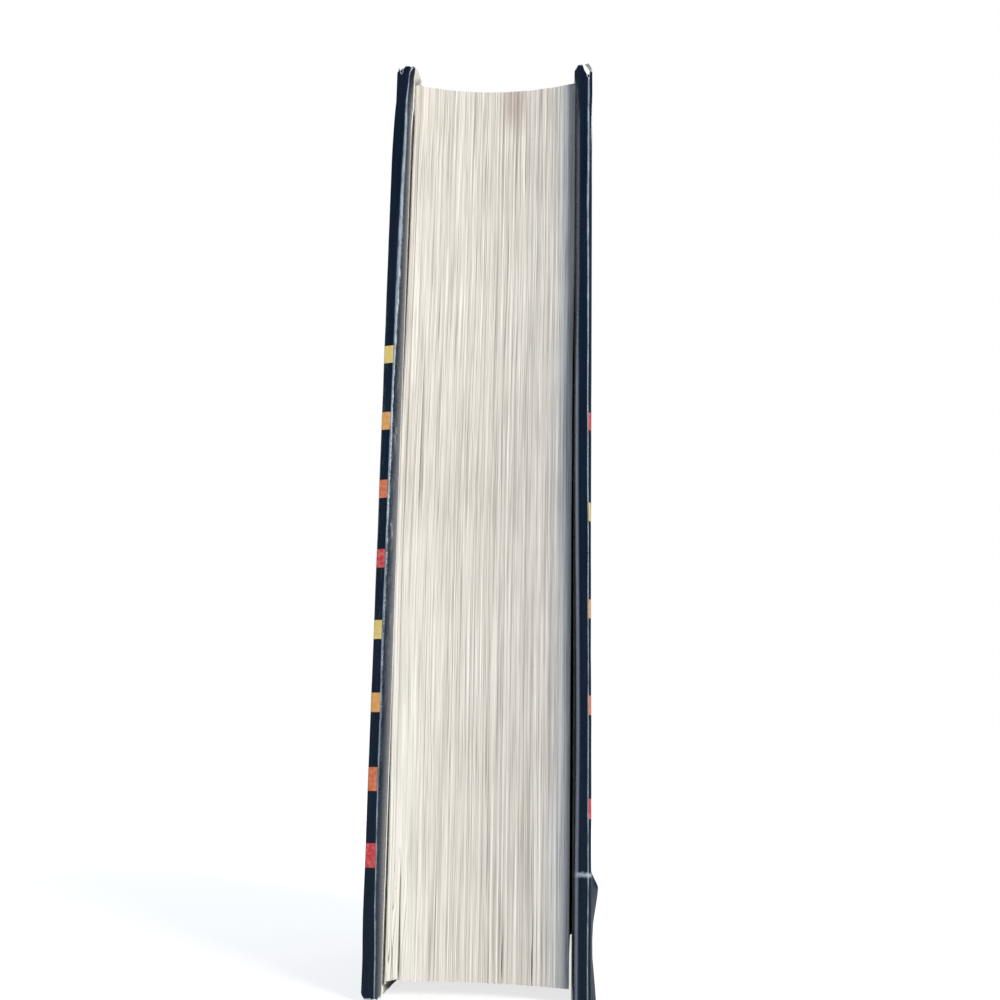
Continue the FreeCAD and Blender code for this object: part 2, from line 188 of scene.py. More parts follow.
def new_sheet(name, outer, inner, values, materials):
    """A closed sheet between two grids of points. Its outer face has the first material."""
    columns, rows = outer.shape[:2]
    index = np.arange(columns * rows).reshape(columns, rows)
    under = index + columns * rows
    loop = np.concatenate([index[:-1, 0], index[-1, :-1], index[:0:-1, -1], index[0, :0:-1]])
    following = np.roll(loop, -1)
    rim = np.stack([following, loop, loop + columns * rows, following + columns * rows], -1)
    top = grid_faces(index)
    faces = np.concatenate([top, grid_faces(under)[:, ::-1], rim])
    kinds = np.ones(len(faces), int) * (len(materials) > 1)
    kinds[:len(top)] = 0
    both = {key: np.concatenate([np.ravel(v), np.ravel(v)]) for key, v in values.items()}
    points = np.concatenate([outer.reshape(-1, 3), inner.reshape(-1, 3)])
    return new_object(name, points, faces, both, materials, kinds)


def lattice_object(name, points, values, materials, sharp=38):
    """A closed object from the outer skin of a block of points: [x steps, y steps, z steps, 3]."""
    skin = np.zeros(points.shape[:3], bool)
    for axis in range(3):
        for end in (0, -1):
            skin[tuple(slice(None) if a != axis else end for a in range(3))] = True
    number = np.full(points.shape[:3], -1)
    number[skin] = np.arange(skin.sum())
    faces = np.concatenate([
        grid_faces(number[:, 0, :]), grid_faces(number[:, -1, :])[:, ::-1],
        grid_faces(number[0, :, :])[:, ::-1], grid_faces(number[-1, :, :]),
        grid_faces(number[:, :, 0])[:, ::-1], grid_faces(number[:, :, -1]),
    ])
    values = {key: value[skin] for key, value in values.items()}
    return new_object(name, points[skin], faces, values, materials, sharp=sharp)


# ---------------------------------------------------------------- materials

class Surface:
    """A material made of nodes, with short ways to add and join them."""

    def __init__(self, name, roughness=0.6, gloss=0.5):
        self.material = bpy.data.materials.new(name)
        self.material.use_nodes = True
        self.tree = self.material.node_tree
        self.shader = self.tree.nodes["Principled BSDF"]
        self.shader.inputs["Roughness"].default_value = roughness
        self.shader.inputs["Specular IOR Level"].default_value = gloss

    def put(self, socket, value):
        if isinstance(value, bpy.types.NodeSocket):
            self.tree.links.new(value, socket)
        else:
            socket.default_value = value

    def node(self, kind, inputs=(), **settings):
        made = self.tree.nodes.new("ShaderNode" + kind)
        for key, value in settings.items():
            setattr(made, key, value)
        for key, value in dict(inputs).items():
            self.put(made.inputs[key], value)
        return made

    def math(self, operation, *values, clamp=False):
        made = self.node("Math", enumerate(values), operation=operation, use_clamp=clamp)
        return made.outputs[0]

    def kept(self, name):
        """A number kept at the mesh's vertices."""
        return self.node("Attribute", attribute_name=name).outputs["Fac"]

    def vector(self, x=0.0, y=0.0, z=0.0):
        return self.node("CombineXYZ", enumerate((x, y, z))).outputs[0]

    def noise(self, vector, scale=1.0, detail=3.0, roughness=0.5):
        return self.node("TexNoise", {"Vector": vector, "Scale": scale, "Detail": detail,
                                      "Roughness": roughness}).outputs["Fac"]

    def step(self, value, low, high):
        """0 below low, 1 above high, and even between them."""
        return self.node("MapRange", {"Value": value, "From Min": low,
                                      "From Max": high}).outputs["Result"]

    def mix(self, share, first, second, blend="MIX"):
        made = self.node("Mix", {0: share, 6: first, 7: second}, data_type="RGBA",
                         blend_type=blend)
        return made.outputs[2]

    def ramp(self, value, stops, interpolation="LINEAR"):
        made = self.node("ValToRGB", {"Fac": value})
        made.color_ramp.interpolation = interpolation
        points = made.color_ramp.elements
        while len(points) < len(stops):
            points.new(0.5)
        for point, (place, colour) in zip(points, stops):
            point.position = place
        for point, (place, colour) in zip(points, stops):
            point.color = colour
        return made.outputs[0]

    def bump(self, height, distance, strength=1.0):
        made = self.node("Bump", {"Height": height, "Distance": distance * MM,
                                  "Strength": strength})
        self.put(self.shader.inputs["Normal"], made.outputs[0])

    def colour(self, value):
        self.put(self.shader.inputs["Base Color"], value)

    def roughness(self, value):
        self.put(self.shader.inputs["Roughness"], value)

    def object_millimetres(self):
        """The place on the object, in millimetres, as three sockets."""
        place = self.node("TexCoord").outputs["Object"]
        scaled = self.node("VectorMath", {0: place, 3: 1.0 / MM}, operation="SCALE").outputs[0]
        return scaled, self.node("SeparateXYZ", {0: scaled}).outputs


def rgb(red, green, blue):
    """A colour given as it looks on screen, 0 to 255."""
    return tuple(((c / 255 + 0.055) / 1.055) ** 2.4 if c > 10 else c / 255 / 12.92
                 for c in (red, green, blue)) + (1.0,)


def leaf_surface():
    """Cut edges of many leaves: fine streaks along each leaf, of uneven cream, with painted light low on the front
    side and painted shade in gaps and beside the back cover.
    """
    s = Surface("leaf_edges", roughness=0.85, gloss=0.2)
    leaf, along, depth = s.kept("leaf"), s.kept("along"), s.kept("depth")
    drift = s.math("MULTIPLY", along, 0.02)
    reach = s.math("MULTIPLY", depth, 0.02)
    fine = s.noise(s.vector(s.math("MULTIPLY", leaf, 4.2), drift, reach), detail=5.0,
                   roughness=0.62)
    broad = s.noise(s.vector(s.math("MULTIPLY", leaf, 1.3), s.math("MULTIPLY", along, 0.006),
                             s.math("MULTIPLY", depth, 0.006)), detail=3.0)
    base = s.ramp(fine, [(0.3, rgb(160, 154, 148)), (0.42, rgb(219, 214, 208)),
                         (0.56, rgb(242, 238, 231)), (0.68, rgb(255, 253, 249))])
    hair = s.noise(s.vector(s.math("MULTIPLY", leaf, 9.0), s.math("MULTIPLY", along, 0.045), reach),
                   detail=2.0)
    base = s.mix(0.9, base, s.ramp(hair, [(0.32, rgb(192, 189, 184)), (0.48, rgb(252, 250, 247)),
                                          (0.66, rgb(255, 254, 253))]), "MULTIPLY")
    tone = s.ramp(broad, [(0.3, rgb(226, 221, 214)), (0.5, rgb(247, 245, 241)),
                          (0.7, rgb(255, 254, 251))])
    base = s.mix(0.7, base, tone, "MULTIPLY")
    line = s.step(s.noise(s.vector(s.math("MULTIPLY", leaf, 1.9), s.math("MULTIPLY", along, 0.011),
                                   reach), detail=2.0), 0.39, 0.33)
    base = s.mix(s.math("MULTIPLY", line, 0.45), base, rgb(150, 138, 122))
    # A thin dark line a little inside the front leaves: painted shade in the gap after the first group of leaves.
    first_gap_shade = s.math("ABSOLUTE", s.math("ADD", leaf, s.math("MULTIPLY_ADD", broad, 0.5, 19.95)))
    base = s.mix(s.math("MULTIPLY", s.step(first_gap_shade, 0.16, 0.03), 0.6), base, rgb(112, 98, 84))
    # The lower front side of the leaves is painted lighter: painted light.
    lit = s.math("MULTIPLY", s.step(leaf, -12.0, -19.0), s.step(along, 130.0, 15.0))
    base = s.mix(s.math("MULTIPLY", lit, 0.45), base, rgb(255, 254, 243))
    # Near the tail the first leaves fan apart: thin dark curved lines are painted shade in the gaps between them.
    splay = s.noise(s.vector(s.math("MULTIPLY_ADD", along, 0.012, s.math("MULTIPLY", leaf, 0.7)),
                             s.math("MULTIPLY", along, 0.022)), detail=0.0)
    splay_gap_shade = s.math("MULTIPLY", s.step(leaf, -16.6, -17.4), s.step(along, 40.0, 16.0))
    splay_gap_shade = s.math("MULTIPLY", splay_gap_shade, s.step(s.math("ABSOLUTE", s.math(
        "SUBTRACT", s.math("FRACT", s.math("MULTIPLY", splay, 9.0)), 0.5)), 0.1, 0.03))
    base = s.mix(s.math("MULTIPLY", splay_gap_shade, 0.7), base, rgb(96, 84, 70))
    near_head = s.step(s.math("ADD", along, s.math("MULTIPLY", fine, 9.0)), 229.0, 238.0)
    patch = s.math("MULTIPLY", s.step(leaf, 0.5, 2.5), s.step(leaf, 10.5, 6.5))
    stain = s.math("MULTIPLY", s.math("MULTIPLY", near_head, patch), s.step(fine, 0.38, 0.62))
    base = s.mix(s.math("MULTIPLY", stain, 0.55), base, rgb(150, 112, 104))
    speck = s.step(s.noise(s.vector(s.math("MULTIPLY", leaf, 1.6), s.math("MULTIPLY", along, 0.9),
                                    depth), detail=2.0), 0.72, 0.78)
    # The leaves nearest the back cover are tinted blue-grey: painted shade of the cover's bluish shadow on them.
    base = s.mix(s.step(leaf, 15.0, 21.5), base, rgb(220, 231, 247), "MULTIPLY")
    s.colour(s.mix(s.math("MULTIPLY", speck, 0.35), base, rgb(170, 150, 128)))
    s.bump(s.math("ADD", fine, s.math("MULTIPLY", broad, 0.8)), 0.16)
    return s.material


def paper_surface(name, tint, deep):
    """Plain paper with soft fibres, faint foxing and a little unevenness."""
    s = Surface(name, roughness=0.8, gloss=0.25)
    place, _ = s.object_millimetres()
    fibre = s.noise(place, scale=1.6, detail=5.0, roughness=0.65)
    cloud = s.noise(place, scale=0.035, detail=3.0)
    base = s.mix(s.step(cloud, 0.35, 0.7), tint, deep)
    spots = s.step(s.noise(place, scale=0.16, detail=2.0), 0.74, 0.8)
    base = s.mix(s.math("MULTIPLY", spots, 0.3), base, rgb(196, 160, 112))
    s.colour(s.mix(s.math("MULTIPLY", s.step(fibre, 0.4, 0.7), 0.12), base, rgb(160, 150, 132)))
    s.bump(fibre, 0.02)
    return s.material


def cloth_surface():
    """Dark book cloth: a close plain weave, rubbed pale at the corners."""
    s = Surface("book_cloth", roughness=0.75, gloss=0.3)
    place, axis = s.object_millimetres()
    pitch = math.tau / 0.55
    across = s.math("SINE", s.math("MULTIPLY", s.math("ADD", axis[0], axis[1]), pitch))
    upright = s.math("SINE", s.math("MULTIPLY", axis[2], pitch))
    weave = s.math("MULTIPLY", across, upright)
    cloud = s.noise(place, scale=0.08, detail=3.0)
    base = s.mix(s.step(weave, -1.0, 1.0), rgb(13, 15, 20), rgb(32, 36, 44))
    base = s.mix(s.math("MULTIPLY", cloud, 0.25), base, rgb(44, 48, 58))
    rub = s.math("MULTIPLY", s.step(axis[2], 240.3, 241.2), s.step(axis[1], -79.0, -82.9))
    rub = s.math("MULTIPLY", rub, s.step(s.noise(place, scale=0.45, detail=3.0), 0.3, 0.6))
    s.colour(s.mix(rub, base, rgb(206, 208, 214)))
    s.bump(weave, 0.05)
    return s.material


def board_surface(name, tint, fleck):
    """Grey pressed board with flecks of fibre."""
    s = Surface(name, roughness=0.9, gloss=0.2)
    place, _ = s.object_millimetres()
    grain = s.noise(place, scale=2.2, detail=5.0, roughness=0.7)
    flecks = s.step(s.noise(place, scale=0.9, detail=2.0), 0.62, 0.7)
    base = s.mix(s.step(grain, 0.3, 0.7), tint, fleck)
    s.colour(s.mix(s.math("MULTIPLY", flecks, 0.4), base, rgb(92, 86, 78)))
    s.bump(grain, 0.05)
    return s.material


def mull_surface():
    """Open gauze stiffened with glue."""
    s = Surface("gauze", roughness=0.7, gloss=0.3)
    place, axis = s.object_millimetres()
    pitch = math.tau / 1.1
    mesh = s.math("MAXIMUM", s.math("SINE", s.math("MULTIPLY", axis[0], pitch)),
                  s.math("SINE", s.math("MULTIPLY", axis[2], pitch)))
    s.colour(s.mix(s.step(mesh, 0.2, 0.7), rgb(176, 150, 112), rgb(222, 212, 190)))
    s.bump(mesh, 0.1)
    return s.material


def band_surface():
    """Woven end band: silk stripes wrapped over a core."""
    s = Surface("woven_band", roughness=0.55, gloss=0.4)
    place, axis = s.object_millimetres()
    stripe = s.math("SINE", s.math("MULTIPLY", axis[0], math.tau / 1.6))
    thread = s.math("SINE", s.math("MULTIPLY", axis[0], math.tau / 0.4))
    wear = s.noise(place, scale=0.7, detail=3.0)
    base = s.mix(s.step(stripe, -0.1, 0.1), rgb(226, 222, 210), rgb(34, 52, 84))
    s.colour(s.mix(s.math("MULTIPLY", wear, 0.3), base, rgb(150, 142, 130)))
    s.bump(thread, 0.08)
    return s.material


WARM = (rgb(204, 60, 66), rgb(214, 112, 70), rgb(222, 158, 84), rgb(228, 200, 116))


def plain_bars(first, pitch, width, count, run):
    """Evenly spaced level bars: lowest and highest point, run onto the panel, colour."""
    return [(first + pitch * i, first + pitch * i + width, run, WARM[i % len(WARM)])
            for i in range(count)]


BARS = {FRONT: plain_bars(30.0, 18.0, 5.0, 8, 30.0), BACK: plain_bars(42.0, 24.0, 5.0, 5, 30.0)}


def jacket_surface(side):
    """Glossy dark printed paper with plain warm bars, a pale flap, and wear on folds and edges, with a painted
    highlight on the crease and a painted reflection on the fold's inner facet.

    The flap's pale print starts a little way beyond the fold's inner corner.
    """
    s = Surface(f"jacket_print_{'front' if side == FRONT else 'back'}", gloss=0.5)
    s.shader.inputs["Specular Tint"].default_value = (0.8, 0.92, 1.0, 1.0)
    across, along, rim, turned = (s.kept(n) for n in ("across", "along", "rim", "turned"))
    place = s.vector(across, along)
    cloud = s.noise(place, scale=0.02, detail=3.0)
    fine = s.noise(place, scale=0.9, detail=4.0, roughness=0.6)
    streak = s.noise(s.vector(s.math("MULTIPLY", across, 1.2), s.math("MULTIPLY", along, 0.03)),
                     detail=3.0)
    base = s.ramp(cloud, [(0.3, rgb(4, 14, 30)), (0.5, rgb(10, 24, 40)), (0.7, rgb(24, 22, 46))])
    base = s.mix(s.math("MULTIPLY", s.step(streak, 0.45, 0.75), 0.35), base, rgb(20, 46, 62))

    height = s.math("DIVIDE", along, JACKET_HEAD)
    paint, reach = [(0.0, rgb(0, 0, 0))], [(0.0, (0.0, 0.0, 0.0, 1.0))]
    for low, high, run, tint in BARS[side]:
        paint.append((low / JACKET_HEAD, tint))
        reach += [(low / JACKET_HEAD, (run / 100,) * 3 + (1.0,)),
                  (high / JACKET_HEAD, (0.0, 0.0, 0.0, 1.0))]
    tint = s.ramp(height, paint, "CONSTANT")
    run = s.math("MULTIPLY", s.ramp(height, reach, "CONSTANT"), 100.0)
    on_bar = s.math("MULTIPLY", s.step(s.math("SUBTRACT", run, across), 0.0, 0.1),
                    s.step(across, 0.15, 0.3))
    faded = s.mix(s.math("MULTIPLY", s.step(fine, 0.45, 0.8), 0.3), tint, rgb(240, 226, 200))
    base = s.mix(on_bar, base, faded)

    head_share = s.math("MULTIPLY", s.step(along, 216.0, 232.0), 3.4)
    edge = -6.0 if side == BACK else s.math("SUBTRACT", head_share, 4.0)
    past = s.math("SUBTRACT", turned, edge)
    flap = s.step(past, 0.06, -0.06)
    cream = s.mix(s.step(cloud, 0.3, 0.7), rgb(246, 243, 230), rgb(236, 232, 214))
    base = s.mix(flap, base, cream)

    # The fold's inner facet is painted a soft grey towards its corner: a painted reflection of the leaves and the
    # light beside it.
    grey = rgb(128, 127, 127) if side == FRONT else rgb(118, 124, 140)
    reflection_mix = s.math("MULTIPLY", s.kept("painted_reflection"), s.math("MULTIPLY_ADD", streak, 0.5, 0.75),
                       clamp=True)
    base = s.mix(reflection_mix, base, grey)

    # The crease gets a pale line, partly rubbed print and partly a painted highlight, and the edges show the
    # paper's core.
    off_crease = s.math("ABSOLUTE", s.math(
        "ADD", across, s.math("MULTIPLY", s.math("SUBTRACT", streak, 0.5), 0.25)))
    on_crease = s.math("SUBTRACT", 1.0, s.math("DIVIDE", off_crease, s.kept("rub_and_highlight_width")),
                       clamp=True)
    rub_and_highlight = s.math("MULTIPLY", s.step(on_crease, 0.0, 0.6), s.step(s.noise(
        s.vector(across, s.math("MULTIPLY", along, 0.22)), detail=4.0), 0.2, 0.62))
    base = s.mix(s.math("MULTIPLY", rub_and_highlight, 0.7), base, rgb(160, 176, 190))
    scuffs = s.math("MULTIPLY", s.step(s.noise(place, scale=0.5, detail=6.0, roughness=0.75),
                                       0.66, 0.74), 0.3)
    base = s.mix(scuffs, base, rgb(112, 120, 132))
    if side == BACK:
        kink = s.math("ABSOLUTE", s.math("SUBTRACT", along, s.math(
            "MULTIPLY_ADD", s.math("SUBTRACT", fine, 0.5), 1.2, 29.5)))
        kink = s.math("MULTIPLY", s.step(kink, 0.75, 0.15), s.step(s.math("ABSOLUTE", across),
                                                                 9.0, 1.0))
        base = s.mix(s.math("MULTIPLY", kink, 0.75), base, rgb(186, 198, 206))
    ragged = s.math("ADD", rim, s.math("MULTIPLY", s.math("SUBTRACT", s.noise(
        place, scale=1.4, detail=4.0), 0.5), 1.6))
    s.colour(s.mix(s.step(ragged, 0.3, 0.02), base, rgb(226, 228, 228)))
    worn = s.math("MAXIMUM", rub_and_highlight, scuffs)
    s.roughness(s.math("MULTIPLY_ADD", worn, 0.2, s.math("MULTIPLY_ADD", fine, 0.12, 0.22)))
    wrinkle = s.noise(s.vector(s.math("MULTIPLY", across, 0.35), s.math("MULTIPLY", along, 0.12)),
                      detail=4.0)
    s.bump(s.math("MULTIPLY_ADD", fine, 0.04, wrinkle), 0.35)
    return s.material


# ---------------------------------------------------------------- leaves

def bow(z, width=58.0):
    """How far the standing book swells outwards, most at its middle height."""
    return hump(z, 107.0, width)


def leaf_side(side, y, z):
    """The level of the outermost leaf, before its endpaper."""
    if side == FRONT:
        at_fore = 21.5 + 0.76 * bow(z) - 0.28 * ease(z, 214.0, 232.0)
    else:
        at_fore = 21.8 - 0.06 * bow(z) + 0.38 * ease(z, 150.0, 188.0)
    level = at_fore + (21.5 - at_fore) * ease(y, LEAF_FORE + 4.0, -30.0)
    return level + (HALF_SHOULDER - 21.5) * ease(y, SHOULDER_START - 1.0, SHOULDER)


def leaf_block(material):
    """All the leaves as one block, its edges broken up as real leaves' edges are."""
    columns, layers = 384, 16
    z = spread((LEAF_TAIL, 12.0, 45.0, 215.0, LEAF_HEAD), (14, 20, 34, 14))
    u = np.linspace(0.0, 1.0, columns + 1)
    w = ease(np.linspace(0.0, 1.0, layers + 1), -0.35, 1.35)
    w = (w - w[0]) / (w[-1] - w[0])
    w = np.insert(w, -1, 0.974)         # a row where the shoulders begin to flare
    rows = len(z)

    # How far each leaf's cut edge stands back, along its height.
    ridge = ripples(u * 43.0, 0, 1.5, 1, 9) * 0.05 + ripples(u * 43.0, 0, 4.0, 1, 9) * 0.07
    back_step = (rng.uniform(-1, 1, columns + 1) * 0.035 + ridge)[:, None] \
        + 0.05 * ripples(u[:, None] * 43.0, z[None, :], 2.2, 150.0, 9)
    for leaf, low, high, deep in ((20.9, 150.0, 156.5, 0.9), (4.7, 120.0, 160.0, 0.5),
                                  (5.4, 118.0, 134.0, 0.4), (27.2, 5.0, 13.0, 1.1),
                                  (34.4, 3.0, 13.5, 1.0), (26.0, 60.0, 92.0, 0.3),
                                  (29.9, 205.0, 236.0, 0.4), (23.2, 20.0, 60.0, 0.3),
                                  (1.7, 3.0, 14.0, 0.8), (2.6, 3.0, 30.0, 1.3),
                                  (3.4, 3.0, 12.0, 0.6), (0.85, 3.0, 16.0, 0.5)):
        slit = hump(u * 43.0, leaf, 0.08)[:, None]
        back_step += deep * slit * ease(z, low - 1.0, low + 3.0) * ease(z, high + 2.0, high - 6.0)

    # Near the tail the first leaves fan and curl apart.
    fan = hump(u * 43.0, 2.2, 2.6)[:, None] * ease(z, 34.0, 3.0)[None, :]
    sway = fan * (0.28 * np.sin(u * 43.0 * 2.9)[:, None] + 0.2 * ripples(u[:, None] * 43.0, z[None, :], 2.0, 30.0))
    ends = 0.16 * ripples(u * 43.0, 0, 1.2, 1, 9) + rng.uniform(-1, 1, columns + 1) * 0.06

    grid_u, grid_w, grid_z = np.meshgrid(u, w, z, indexing="ij")
    cove = FORE_COVE * (1 - (2 * u - 1) ** 2)
    fore = LEAF_FORE + cove[:, None] + back_step
    level_back = HALF_SHOULDER * (2 * u - 1)
    back = BACK_CENTRE_Y + np.sqrt(LEAF_BACK_R ** 2 - level_back ** 2)
    y = fore[:, None, :] + (back[:, None, None] - fore[:, None, :]) * grid_w
    left = -leaf_side(FRONT, y, grid_z)
    right = leaf_side(BACK, y, grid_z)
    x = left + (right - left) * grid_u + sway[:, None, :] * ease(grid_w, 0.25, 0.0)
    x = np.clip(x, left, right)
    tail_end = (0.7 * (0.5 - u) + 0.35 + ends)[:, None] * ease(w, 0.9, 0.0)[None, :]
    tail_end += 0.3 * (ease(u * 43.0, 0.9, 1.2) * ease(u * 43.0, 3.1, 2.95))[:, None] \
        * ease(w, 0.5, 0.0)[None, :]
    head_end = (0.5 * ends)[:, None] * ease(w, 0.9, 0.0)[None, :]
    tail_end = np.maximum(tail_end, 0.0)
    height = grid_z + tail_end[:, :, None] * ease(grid_z, 14.0, LEAF_TAIL) \
        - np.maximum(head_end, 0.0)[:, :, None] * ease(grid_z, 226.0, LEAF_HEAD)
    points = np.stack([MIDDLE_X + x, y, height], -1)

    values = {"leaf": grid_u * 43.0 - 21.5, "along": height, "depth": y - LEAF_FORE}
    block = lattice_object("leaf_block", points, values, [material], sharp=60)
    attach(block, "book_block")
    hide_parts("text_block")


def flyleaf(name, side, node, material):
    """The free endpaper that lies on the block and follows its side."""
    y = spread((LEAF_FORE + 0.15, -70.0, -35.0, SHOULDER_START), (8, 12, 24))[:, None]
    z = spread((LEAF_TAIL, 20.0, 220.0, LEAF_HEAD), (6, 40, 6))[None, :]
    level = leaf_side(side, y, z) + 0.02
    level = np.minimum(level, 21.52 + 1.2 * ease(y, -40, -60))
    y, z = np.broadcast_arrays(y, z)
    inner = solid_points(np.stack([level, y], -1), z, side)
    outer = solid_points(np.stack([level + FLYLEAF, y], -1), z, side)
    sheet = new_sheet(name, outer, inner, {}, [material])
    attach(sheet, "book_block")
    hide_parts(node)


# ---------------------------------------------------------------- covers

def stand_off(side, y, z):
    """How far the back cover's fore-edge leans away from the leaves, most near its tail."""
    if side == FRONT:
        return 0.0
    return (0.6 * ease(z, 145.0, 60.0) + 0.15 * ease(z, 150.0, 180.0)) * ease(y, -70.0, -81.0)


def behind_fold(side, y, by):
    """Slides the far face's rows away from the back's sharp fold, so it keeps its thickness."""
    if side == FRONT:
        return y
    return y + by * np.sign(y - HINGE_Y) * ease(np.abs(y - HINGE_Y), 3.0, 0.5)


def pastedown(name, side, node, material):
    """The endpaper inside a cover, with the turned-in cloth telling through it.

    It bends across the groove and meets the block at its shoulder.
    """
    y = spread((-80.05, -66.0, 55.0, 66.5, 68.98, 69.08, SHOULDER_START), (28, 40, 12, 8, 1, 13))
    z = spread((PASTEDOWN_TAIL, 18.0, 223.0, PASTEDOWN_HEAD), (26, 50, 26))
    y, z = np.meshgrid(y, z, indexing="ij")
    over_cloth = np.maximum(ease(y, -67.3, -68.7),
                            np.maximum(ease(z, 15.7, 14.3), ease(z, 225.7, 227.1)))
    level = PASTEDOWN_IN + 0.07 * (1 - over_cloth) * ease(y, 64.0, 60.0)
    level = level + (21.85 - level) * ease(y, 69.4, 73.0) + stand_off(side, y, z)
    outer = solid_points(np.stack([level, y], -1), z, side)
    under = level + (PASTEDOWN_OUT - PASTEDOWN_IN) * 0.6
    inner = solid_points(np.stack([under, behind_fold(side, y, 0.07)], -1), z, side)
    sheet = new_sheet(name, outer, inner, {}, [material])
    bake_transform(sheet)
    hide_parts(node)


def cloth_hinge(name, side, material):
    """The case cloth that runs on across the groove, from the cover to the block's shoulder."""
    y = spread((64.6, 68.85, 69.25, SHOULDER_START + 0.4), (16, 1 if side == BACK else 2, 16))
    z = spread((0.05, 241.35), (60,))
    y, z = np.meshgrid(y, z, indexing="ij")
    level = STRIP_IN + 0.04 * (1 - np.cos((z - 0.05) / 241.3 * math.tau * 3)) / 2 + 0 * y
    inner = solid_points(np.stack([level, y], -1), z, side)
    outer = solid_points(np.stack([level + 0.42, behind_fold(side, y, 0.15)], -1), z, side)
    sheet = new_sheet(name, outer, inner, {}, [material])
    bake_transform(sheet)


def cased_board(name, side, cover, nodes, material):
    """A board in its cloth, with soft edges and knocked corners."""
    edge = (0.0, 0.1, 0.22, 0.38, 0.6)
    d = np.concatenate([CLOTH_IN + np.array(edge), spread((CLOTH_IN + 0.9, CLOTH_OUT - 0.9), (6,)),
                        CLOTH_OUT - np.array(edge)[::-1]])
    y = np.concatenate([CLOTH_FORE + np.array(edge),
                        spread((CLOTH_FORE + 0.9, -76.0, 60.0, CLOTH_BACK - 0.9), (22, 44, 6)),
                        CLOTH_BACK - np.array(edge)[::-1]])
    z = np.concatenate([np.array(edge),
                        spread((0.9, 12.0, 225.0, CASE_HEAD - 0.9), (14, 50, 26)),
                        CASE_HEAD - np.array(edge)[::-1]])
    d, y, z = np.meshgrid(d, y, z, indexing="ij")
    place = np.stack([d, y, z], -1)
    low = np.array((CLOTH_IN, CLOTH_FORE, 0.0)) + 0.6
    high = np.array((CLOTH_OUT, CLOTH_BACK, CASE_HEAD)) - 0.6
    core = np.clip(place, low, high)
    out = place - core
    far = np.linalg.norm(out, axis=-1, keepdims=True)
    place = np.where(far > 0.6, core + out / np.maximum(far, 1e-6) * 0.6, place)
    d, y, z = place[..., 0], place[..., 1], place[..., 2]
    if side == FRONT:
        worn = np.interp(d, (23.0, 23.4, 23.9, 24.9, 25.3, 26.4), (0.6, 0.2, 0.0, 0.0, 0.5, 1.0))
    else:
        worn = np.interp(d, (23.0, 23.3, 24.3, 24.7, 26.4), (0.5, 0.15, 0.2, 3.6, 5.2))
    rough = 0.12 * ripples(y, d, 1.8, 1.1)
    z = z - (worn + rough) * ease(y, -77.8, -82.6) * ease(z, 228.0, 240.6)
    blunt = 1.3 * ease(d, 25.2, 26.4) ** 2 + 1.0 * ease(d, 24.2, 23.0) ** 2
    z = z + (blunt + 0.1) * ease(y, -79.5, -82.6) * ease(z, 9.0, 0.6)
    d = d + stand_off(side, y, z)
    points = np.stack([MIDDLE_X + side * d, y, np.minimum(z, CASE_HEAD)], -1)
    board = lattice_object(name, points, {"knocked": (worn + rough + 0.8) * ease(y, -79.0, -82.8)},
                           [material])
    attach(board, cover)
    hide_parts(*nodes)


# ---------------------------------------------------------------- dust jacket

JACKET_Z = spread((JACKET_TAIL, 12.0, 36.0, 220.0, 234.0, JACKET_HEAD), (22, 22, 56, 14, 22))
HEAD_GIVE, TAIL_GIVE = 224.0, 20.0


def stretch_ends(z, tail, head):
    """Heights moved so that the sheet ends at tail and head, and its middle stays."""
    up = ease(z, HEAD_GIVE, HEAD_GIVE + 0.001) * (z - HEAD_GIVE) / (JACKET_HEAD - HEAD_GIVE)
    down = ease(z, TAIL_GIVE, TAIL_GIVE - 0.001) * (TAIL_GIVE - z) / (TAIL_GIVE - JACKET_TAIL)
    return z + up * (head - JACKET_HEAD) + down * (tail - JACKET_TAIL)


def front_half_path(z):
    """The front half of the jacket: flap, folded edge with its crease, and panel."""
    curl = ease(z, 238.3, 240.6)
    crease = 24.48 - 1.9 * ((z - 100.0) / 147.0) ** 2 + 0.2 * ease(z, 222.0, 229.0) \
        - 0.4 * ease(z, 229.0, 238.0) - 0.4 * ease(z, 23.0, 9.0) + 0.07 * ripples(0, z, 1, 45.0)
    soft = (0.6 + 0.8 * hump(z, 202.0, 34.0) + 0.3 * hump(z, 22.0, 20.0)) * (1 - 0.5 * curl)
    outer = 26.89 - ease(z, 212.0, 240.0) + 0.2 * hump(z, 228.0, 6.0) - 0.25 * ease(z, 20.0, 7.0)
    corners = [
        (FLAP_IN, FLAP_END), (FLAP_IN, -52.0), (FLAP_IN - 1.8 * curl, -72.5),
        (FLAP_IN - 2.35 * curl, -77.8),
        (22.4 - 0.85 * ease(z, 222.0, 236.0) - 0.85 * curl, -80.6 - 0.9 * curl),
        (21.84 + 0.12 * bow(z) + 0.35 * hump(z, 34.0, 16.0) - 0.35 * curl, -82.7 - 1.2 * curl),
        (crease, CREASE_TIP - 0.1 * soft), (outer, JACKET_FORE + 0.1),
        (26.86 - 0.15 * ease(z, 206.0, 238.0), -64.0), (PANEL - 0.12, 20.0), (PANEL, 66.0),
        (PANEL, SEAM_Y),
    ]
    return corners, (8.0, 4.0, 1.8, 1.2, 0.8 - 0.4 * curl, soft, 0.35, 5.0, 10.0, 2.0), \
        (14, 8, 4, 3, 5, 7, 8, 10, 16, 10, 16)


